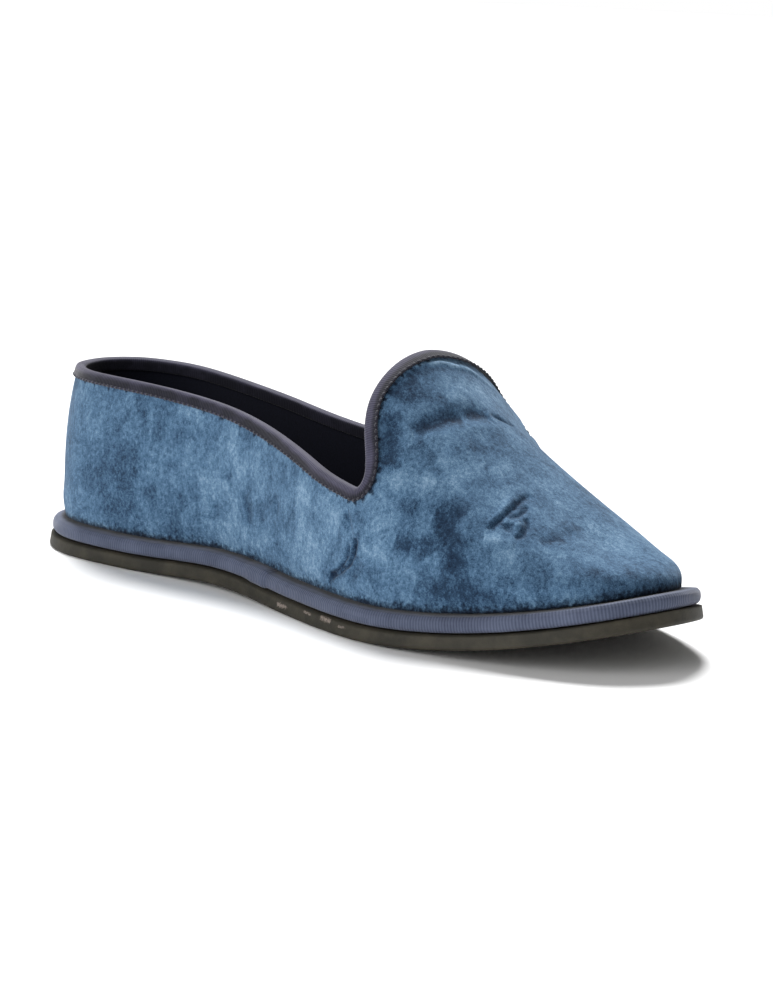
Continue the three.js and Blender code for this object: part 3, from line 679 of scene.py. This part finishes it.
# How the pile lies and where light is painted, in millimetres: from -1, dark, to 1, light, then reach and
# points.
# Most strokes are the crushed pile, brushed dark or light. Those that follow the folds and dents are painted
# shade in their troughs and painted highlights on their ridges, and one light line is a painted highlight on
# the tongue's edge.
pile_and_light_strokes = [
    # A painted highlight along the rolled top edge of the tongue.
    (0.95, 0.9, (40.6, -27.9, 80.1), (41.1, -23.6, 82.9), (41.6, -15.7, 85.4), (42.4, -7.2, 84.8),
     (43.2, 1.6, 82.9), (43.8, 7.6, 80.3), (44.2, 13.6, 76.5), (44.6, 18.4, 72.5)),
    # Crushed pile, brushed dark or light.
    (-0.4, 1.6, (43.5, -23, 80.8), (44, -15, 83.2), (44.8, -7, 82.8), (45.6, 0, 81.4)),
    (-0.75, 4.5, (44.3, -29.4, 75.4), (44.5, -25, 78.4), (45.2, -20.6, 79.6)),
    # Painted shade in the trough down the tongue's inner edge.
    (-0.85, 4.2, (46, -33, 71), (49.5, -35.9, 65.6), (51.8, -38.8, 60), (53.2, -41, 54)),
    # Crushed pile, brushed dark or light.
    (-0.5, 4.5, (48, -24, 77), (52.5, -23.5, 73.5)),
    (0.5, 5, (52.2, -14.8, 76), (50, -3.1, 77.6), (51, 5.9, 73.8)),
    (0.3, 4, (48, 12, 75), (50, 16, 70)),
    # Painted shade in the dent across the tongue's root, then a painted highlight on the ridge below it.
    (-1.0, 2.5, (54.8, -30.6, 66.2), (56.6, -27.5, 68), (57.6, -22.9, 69.4), (59.6, -17.5, 69.4),
     (61.1, -14.5, 69)),
    (-1.0, 2.2, (59.5, -12, 70.6), (59.5, -6.4, 70.5), (60.1, -1.9, 69.5)),
    (-0.7, 1.2, (59.9, -1.1, 69.4), (60.7, 2.5, 67.7), (60.9, 8.5, 65)),
    (0.4, 2.6, (59.3, -30.9, 63.5), (63.4, -25.4, 64), (66.9, -19.7, 63.5), (68.5, -12, 64)),
    # Crushed pile, brushed dark or light.
    (0.55, 5, (66, -31, 58.5), (73, -27, 57.5), (77, -20, 56.5)),
    (0.5, 4, (77.3, -19.7, 56.1), (79, -10.6, 56)),
    (-0.25, 4, (72.4, -22.1, 58.8), (81.1, -23.4, 52.5)),
    (0.35, 4, (85.1, -22.1, 50.4), (88.6, -20.2, 48.8)),
    (0.55, 4.4, (53, -43, 52), (62.8, -39.7, 50.9), (69.2, -34.7, 53.2)),
    (0.6, 5, (49.5, -45.3, 47.6), (54.3, -45.3, 41.9), (57.3, -46.1, 36)),
    (0.5, 3.5, (48, -46.8, 30.8), (54, -47, 29), (59.9, -46.7, 30.1)),
    # Crushed pile brushed dark, lying partly over the broad dents low on the vamp's inner side as painted
    # shade in them.
    (-0.5, 2.6, (61.7, -42.8, 45.3), (68.6, -41.6, 43.6)),
    (-0.55, 3, (76.7, -35.7, 47.4), (80.5, -35.6, 45.4), (83.9, -35.6, 43.4)),
    (-0.85, 4.8, (74, -40.5, 42.7), (78.3, -39.5, 42), (84.6, -40.5, 35.8), (85.8, -43, 26.2)),
    (-0.7, 5, (72, -43.5, 36), (76, -44.5, 30)),
    (-0.6, 3.6, (62.7, -46, 33), (69.2, -45.3, 31.4)),
    (-0.5, 5, (72, -46, 22), (84, -44, 21.4), (97.6, -40.5, 20.8), (108, -36.5, 21.5)),
    # Painted shade in the troughs of the pinches on the vamp and toe, with painted highlights on their
    # ridges.
    (-0.8, 1.5, (92.9, -33.6, 40.1), (92.9, -28, 43.9), (91.9, -20.8, 46.8), (90.6, -15, 48.4)),
    (-0.65, 1.1, (94.6, -27.6, 43.2), (95.2, -23.4, 44.5), (94.2, -18.5, 46)),
    (-0.65, 1.5, (97.6, -22.6, 43.3), (100.3, -24.4, 41.5), (101.8, -28.3, 39.2), (100.6, -31, 38.2)),
    (-0.5, 1.4, (95.6, -29.4, 41.6), (97.6, -31.2, 39.6)),
    (-0.35, 4, (97.5, -27.5, 41.5), (99, -25, 41.8)),
    (0.7, 1.1, (97.2, -27.8, 41.9), (98.4, -25.6, 42.1)),
    (0.55, 2.4, (92.7, -36.3, 37.5), (97.4, -34.1, 37.4)),
    (-0.45, 2.6, (106.8, -26.1, 37.6), (108.7, -19.1, 38.4), (104.3, -6.3, 40.7)),
    (-0.4, 5, (107.9, -34, 31.2), (117.3, -31.3, 27.4)),
    # Crushed pile, brushed dark or light.
    (0.35, 5, (97, -37, 34), (105, -34, 32)),
    (0.25, 6, (78, -2, 56), (91, -1.2, 48), (109.9, -2, 37.9), (123.2, -2.5, 32.4)),
    (0.2, 5, (125, -12, 30.5), (130, -4, 30)),
    (-0.3, 3, (124, -22, 30.5), (130, -18, 28.5)),
    (0.5, 6, (8.5, -38.5, 39.6), (27, -42.9, 38.1), (37.1, -45.2, 33.4)),
    (0.4, 6, (10, -39, 30), (20, -41.8, 24), (32, -44.3, 24)),
    (0.4, 5, (14, -40, 18), (26, -42.8, 16)),
    (0.45, 7, (-35.3, -29.3, 52), (-28.2, -30.8, 45.1), (-10, -34, 44)),
    (0.35, 6, (-50, -30, 33), (-35, -30, 38)),
    (0.3, 5, (-33, -30, 26), (-14, -33, 20), (0, -36.5, 17)),
    # Painted shade in the quarter's soft dents.
    (-0.4, 2.4, (-41.1, -30, 29.4), (-42.2, -29.8, 22.3)),
    (-0.45, 2.4, (-25.6, -31.5, 35.3), (-22.4, -31.9, 29.6), (-22, -31.7, 22.8)),
    (-0.4, 2.2, (-5.2, -35.3, 37.3), (-3.6, -35.8, 31)),
    (-0.3, 2.2, (-16, -33, 32), (-15, -33, 26)),
    (-0.25, 2.4, (6, -38, 34), (8, -38.5, 27)),
    # Painted shade in the troughs of the folds beside the inner side seam, with a painted highlight on their
    # ridge.
    (-0.35, 2.2, (39.3, -45, 39.9), (41.4, -45.6, 36.7), (42.6, -46.1, 33)),
    (-0.95, 1.4, (45.2, -46.6, 31.5), (45.8, -46.6, 29.3), (45.1, -46.7, 26.3), (41.9, -46.2, 22.5),
     (37.9, -45.5, 19.1), (30.5, -43.8, 15.5)),
    (-0.8, 0.9, (42.3, -46.2, 29.1), (41.8, -46.2, 25.1), (37.9, -45.5, 20.7), (31.8, -44.2, 17.3)),
    (0.6, 0.8, (44, -46.4, 29.2), (43.4, -46.4, 25.6), (39.9, -45.9, 21.6), (34.8, -44.8, 18)),
    (-0.4, 2.4, (48.8, -47.1, 25.6), (45.8, -46.8, 20.6), (42.5, -46.2, 16.7)),
    # Crushed pile, brushed dark or light.
    (-0.3, 12, (-110, -29, 30), (-80, -30, 30)),
    (0.3, 8, (-75, -30, 38), (-58, -30, 34)),
    (-0.5, 9, (60, 42, 45), (78, 38, 40)),
    (0.4, 10, (20, 44, 30), (-10, 38, 32)),
    (-0.4, 11, (-60, 32, 34), (-90, 28, 40)),
    (0.35, 8, (92, 30, 38), (112, 22, 30)),
    (-0.35, 7, (84, 12, 50), (98, 14, 42)),
    (0.4, 9, (-132, -4, 30), (-134, 4, 45)),
    (-0.35, 6, (-128, 14, 22), (-120, 22, 30)),
]

# Small puckers where the velvet is drawn down and caught between board and sole.
pucker_inset = 0.003
pucker_pitch = 0.0085
pucker_foot = 2.5
pucker_height = 4.5
pucker_depths = (0.1, 0.55)
pucker_reaches = (0.9, 1.8)
pucker_seed = 7

# How far hand and wear carry the marks off their lines, in metres, and how many times a metre that turns.
mark_wander = 0.0009
mark_turns = 170

# How soon folds and strokes fade at their ends.
fold_taper = 0.4
stroke_taper = 0.15

# Above the tape: how far the tape rises in metres, then in millimetres how high the velvet is held down,
# where and how far it swells, and how high the mask for the painted shade at the velvet's foot reaches.
wrap_rise = 0.0028
held_height = 2
swell_depth = 0.55
swell_height = 7
swell_reach = 4.5
foot_height = 12

upper_points = mesh_rows(upper_mesh)
marked_points = upper_points + mark_wander * np.array([
    noise.noise_vector(Vector(point) * mark_turns)[:] for point in upper_points
])
upper_normals = mesh_rows(upper_mesh, "normal")
looks_in = np.array([
    faces_in(Vector(point), Vector(normal)) for point, normal in zip(upper_points, upper_normals)
])
outward = np.where(looks_in[:, None], -upper_normals, upper_normals)

wrap_order = np.argsort(wrap_line[:, 0])
wrap_height = np.interp(upper_points[:, 0], wrap_line[wrap_order, 0], wrap_line[wrap_order, 2])
above_wrap = (upper_points[:, 2] - wrap_height - wrap_rise) * 1000

sunk = np.zeros(len(upper_points))
for depth, reach, *line in folds:
    sunk += depth * along_line(marked_points, line, reach, taper=fold_taper)
pucker_random = random.Random(pucker_seed)
for place, _ in zip(*even_places(inset_line(wrap_line, pucker_inset), pucker_pitch)):
    foot = np.array(place) * 1000 + (pucker_random.uniform(-2, 2), 0, pucker_foot)
    head = foot + (pucker_random.uniform(-1.5, 1.5), 0, pucker_random.uniform(0.5, 1) * pucker_height)
    depth = pucker_random.uniform(*pucker_depths)
    sunk += depth * along_line(upper_points, [foot, head], pucker_random.uniform(*pucker_reaches))
swell = -swell_depth * np.exp(-(((above_wrap - swell_height) / swell_reach) ** 2))
held_at_foot = np.clip(above_wrap / held_height, 0, 1)
moved = upper_points - outward * ((sunk + swell) * held_at_foot / 1000)[:, None]
upper_mesh.vertices.foreach_set("co", moved.ravel())

pile_and_painted_light = np.zeros(len(upper_points))
for tone, reach, *line in pile_and_light_strokes:
    pile_and_painted_light += tone * along_line(marked_points, line, reach, taper=stroke_taper)
keep_values(upper_mesh, "pile_and_painted_light", np.clip(pile_and_painted_light, -1, 1) * 0.5 + 0.5)
keep_values(upper_mesh, "above_wrap", np.clip(above_wrap / foot_height, 0, 1))
upper_mesh.update()
upper = new_object("velvet_upper", upper_mesh)

velvet, velvet_tree, velvet_shader = new_finish(
    "crushed_blue_velvet",
    Roughness=0.9,
    Specular_IOR_Level=0.1,
    Sheen_Weight=0.35,
    Sheen_Roughness=0.4,
    Sheen_Tint=linear(176, 192, 208),
)
velvet_place = add_node(velvet_tree, "ShaderNodeTexCoord", {})
velvet_hang = add_node(velvet_tree, "ShaderNodeMapping", {
    "Vector": velvet_place.outputs["Object"], "Scale": (1, 1, 0.85),
})
velvet_clouds = add_node(velvet_tree, "ShaderNodeTexNoise", {
    "Vector": velvet_place.outputs["Object"], "Scale": 42, "Detail": 2, "Distortion": 0.6,
})
velvet_marks = add_node(velvet_tree, "ShaderNodeTexNoise", {
    "Vector": velvet_hang.outputs["Vector"],
    "Scale": 150,
    "Detail": 3,
    "Roughness": 0.55,
    "Distortion": 0.7,
})
velvet_clumps = add_node(velvet_tree, "ShaderNodeTexNoise", {
    "Vector": velvet_hang.outputs["Vector"],
    "Scale": 800,
    "Detail": 3,
    "Roughness": 0.65,
    "Distortion": 0.3,
})
velvet_fibres = add_node(velvet_tree, "ShaderNodeTexNoise", {
    "Vector": velvet_place.outputs["Object"], "Scale": 2600, "Detail": 2, "Roughness": 0.7,
})
velvet_pile_and_light = add_node(velvet_tree, "ShaderNodeAttribute", {}, attribute_name="pile_and_painted_light")
velvet_foot = add_node(velvet_tree, "ShaderNodeAttribute", {}, attribute_name="above_wrap")


def weighted(tree, parts, offset):
    """The sum of sockets, each times its weight, plus an offset."""
    total = offset
    for socket, weight in parts:
        total = worked_out(tree, "MULTIPLY_ADD", socket, weight, total)
    return total


# The brushed pile with its painted shade and highlights, and each size of cloud in it, shift the tone both
# ways from this middle.
middle_tone = 0.55
tone_parts = [
    (velvet_pile_and_light.outputs["Fac"], 0.85),
    (velvet_clouds.outputs["Fac"], 0.55),
    (velvet_marks.outputs["Fac"], 0.65),
    (velvet_clumps.outputs["Fac"], 0.85),
    (velvet_fibres.outputs["Fac"], 0.8),
]
velvet_tone = weighted(velvet_tree, tone_parts, middle_tone - sum(weight for _, weight in tone_parts) / 2)
velvet_ramp = add_node(velvet_tree, "ShaderNodeValToRGB", {"Fac": velvet_tone})
ramp = velvet_ramp.color_ramp
ramp.elements[0].position = 0.0
ramp.elements[0].color = linear(24, 36, 54)
ramp.elements[1].position = 1.0
ramp.elements[1].color = linear(134, 161, 186)
for position, colour in ((0.28, (44, 64, 86)), (0.55, (74, 102, 130)), (0.78, (100, 130, 157))):
    ramp.elements.new(position).color = linear(*colour)
# Painted shade, ragged by the clumps and marks: a dark band at the velvet's foot where it meets the tape,
# and another beside the ribbon's lower edge. Inside either band the velvet goes most of the way to near
# black.
velvet_rag = weighted(velvet_tree, [
    (velvet_clumps.outputs["Fac"], -0.5), (velvet_marks.outputs["Fac"], -0.3),
], 0.52)
velvet_foot_shade = worked_out(velvet_tree, "SUBTRACT", velvet_foot.outputs["Fac"], velvet_rag)
velvet_under_ribbon = add_node(velvet_tree, "ShaderNodeAttribute", {}, attribute_name="below_ribbon")
velvet_pressed_and_shaded = worked_out(velvet_tree, "SUBTRACT", velvet_under_ribbon.outputs["Fac"], velvet_rag)
velvet_unshaded = worked_out(
    velvet_tree, "MULTIPLY",
    ranged(velvet_tree, velvet_foot_shade, -0.06, 0.14, min=0.1),
    ranged(velvet_tree, velvet_pressed_and_shaded, 0.12, 0.24, min=0.18),
)
velvet_colour = mixed(velvet_tree, velvet_unshaded, linear(16, 22, 36), velvet_ramp.outputs["Color"])
velvet_height = weighted(velvet_tree, [
    (velvet_marks.outputs["Fac"], 0.45),
    (velvet_clumps.outputs["Fac"], 0.8),
    (velvet_fibres.outputs["Fac"], 0.4),
], 0.0)
dress_shader(velvet_tree, velvet_shader, velvet_colour, velvet_height, 0.4, 0.0008)
lining = cloth_finish("navy_lining_cloth", (10, 11, 18), (30, 32, 48), 1500)
set_finish(upper, velvet, "velvet", "upper")
upper.data.materials.append(lining)

# Collar binding
# One ribbed navy ribbon, folded over the raw edge of the velvet all round the opening and sewn through both
# sides near its lower edge.

binding_rib_pitch = 0.0008
binding_sharpness = 0.3
binding_levels = 2
# Where the darker band low on the ribbon's outer face begins and how far it spreads, in metres, partly the
# stitched band and partly painted shade; then how much painted shade the inner face takes at the middle and
# over how far it deepens.
sewn_shade_from = 0.0
sewn_shade_over = 0.0014
inner_face_shade = 0.2
inner_face_over = 0.0012


def torus_grid(form):
    """The binding's vertices as rings along the collar, one ring for each corner of its section."""
    start = form.verts[0]
    loops = [walk_ring(edge, start) for edge in start.link_edges]
    section = min(loops, key=len)
    grid = []
    for corner in section:
        runs = [walk_ring(edge, corner) for edge in corner.link_edges]
        longest = max(len(run) for run in runs)
        grid.append(next(run for run in runs if len(run) == longest))
    return grid


binding_form = merged_copy("collar_binding")
binding_form.verts.ensure_lookup_table()
binding_grid = torus_grid(binding_form)
first = binding_grid[0]
aligned = [first]
for ring in binding_grid[1:]:
    before = aligned[-1]
    if ring[1] not in {edge.other_vert(before[1]) for edge in before[1].link_edges}:
        ring = [ring[0]] + ring[:0:-1]
    aligned.append(ring)
tube = np.array([[vert.co[:] for vert in ring] for ring in aligned])
core = tube.mean(axis=0)
tangent = np.roll(core, -1, axis=0) - np.roll(core, 1, axis=0)
tangent /= np.linalg.norm(tangent, axis=1)[:, None]
low, high, side, up = lining_middle
spread = core - np.stack([
    np.clip(core[:, 0], low, high), np.full(len(core), side), np.full(len(core), up),
], axis=1)
spread -= tangent * (spread * tangent).sum(axis=1)[:, None]
spread /= np.linalg.norm(spread, axis=1)[:, None]
downward = np.cross(tangent, spread)
if downward[:, 2].mean() > 0:
    downward = -downward
standing = ((tube - core) * spread).sum(axis=2).mean(axis=1)
hanging = ((tube - core) * downward).sum(axis=2).mean(axis=1)
outer_foot = int((standing + hanging).argmax())
travel = np.concatenate([[0], np.cumsum(np.linalg.norm(np.roll(core, -1, axis=0) - core, axis=1))])
around = np.linalg.norm(np.roll(tube, -1, axis=0) - tube, axis=2).mean(axis=1)
section_run = np.concatenate([[0], np.cumsum(around)])
binding_map = binding_form.loops.layers.uv.new("tape")
spot_of = {vert: (k, i) for k, ring in enumerate(aligned) for i, vert in enumerate(ring)}
for face in binding_form.faces:
    spots = [spot_of[loop.vert] for loop in face.loops]
    ks = [k for k, _ in spots]
    js = [i for _, i in spots]
    for loop, (k, i) in zip(face.loops, spots):
        k += len(aligned) if k == 0 and max(ks) > 1 else 0
        i += len(first) if i == 0 and max(js) > 1 else 0
        loop[binding_map].uv = (travel[i], section_run[k])
crease_edges(binding_form, rim_angle, binding_sharpness)
binding = new_object("collar_ribbon", rounded_mesh("collar_ribbon", binding_form, binding_levels))
binding_points = mesh_rows(binding.data)
beside, _ = nearest_of(binding_points, core)
off_core = binding_points - core[beside]
stands = (off_core * spread[beside]).sum(axis=1)
hangs = (off_core * downward[beside]).sum(axis=1)
# Low on the outer face the ribbon is partly the darker stitched band and partly painted shade; its inner
# face is painted shade.
sewn_and_shaded = np.clip((hangs - sewn_shade_from) / sewn_shade_over, 0, 1) * (stands > 0)
inside = np.clip(inner_face_shade - stands / inner_face_over, 0, 1)
keep_values(binding.data, "painted_shade", np.maximum(sewn_and_shaded, inside))
set_finish(
    binding, tape_finish("navy_collar_ribbon", (34, 34, 50), (82, 80, 100), binding_rib_pitch),
    "binding_tape", "collar_binding",
)

# Collar stitches
# A row of dark machine stitches that holds the ribbon's outer edge to the velvet. The pile beside the ribbon
# is pressed down, and the velvet there is painted darker, partly for the pressed pile and partly as painted
# shade under the ribbon's edge.

collar_pitch = 0.0023
collar_stitch = collar_pitch * 0.66
collar_thread = 0.0005
stitch_line_share = 0.2
pressed_and_shaded_reach = 0.0045

neighbours = [(outer_foot + step) % len(aligned) for step in (-1, 1)]
face_side = max(neighbours, key=lambda k: standing[k] - hanging[k])
stitch_line = tube[outer_foot] * (1 - stitch_line_share) + tube[face_side] * stitch_line_share
final_upper = mesh_rows(upper_mesh)
# How far each velvet point lies from the ribbon's lower edge, for the darker band there: partly pressed
# pile, partly painted shade.
below_ribbon = np.full(len(final_upper), 1.0)
for place in tube[outer_foot]:
    away = np.linalg.norm(final_upper - place, axis=1)
    below_ribbon = np.minimum(below_ribbon, away / pressed_and_shaded_reach)
keep_values(upper_mesh, "below_ribbon", below_ribbon)
binding_tree = surface_under(binding.data)
collar_form = bmesh.new()
for place, run in zip(*even_places(stitch_line, collar_pitch)):
    found, facing, _, _ = binding_tree.find_nearest(Vector(place))
    thread_stitch(collar_form, found, run, facing, collar_stitch, collar_thread)
collar_stitches = object_from("collar_stitches", collar_form)
collar_stitches.data.shade_smooth()
set_finish(collar_stitches, thread_finish("dark_navy_thread", (34, 36, 54)), "binding_tape")
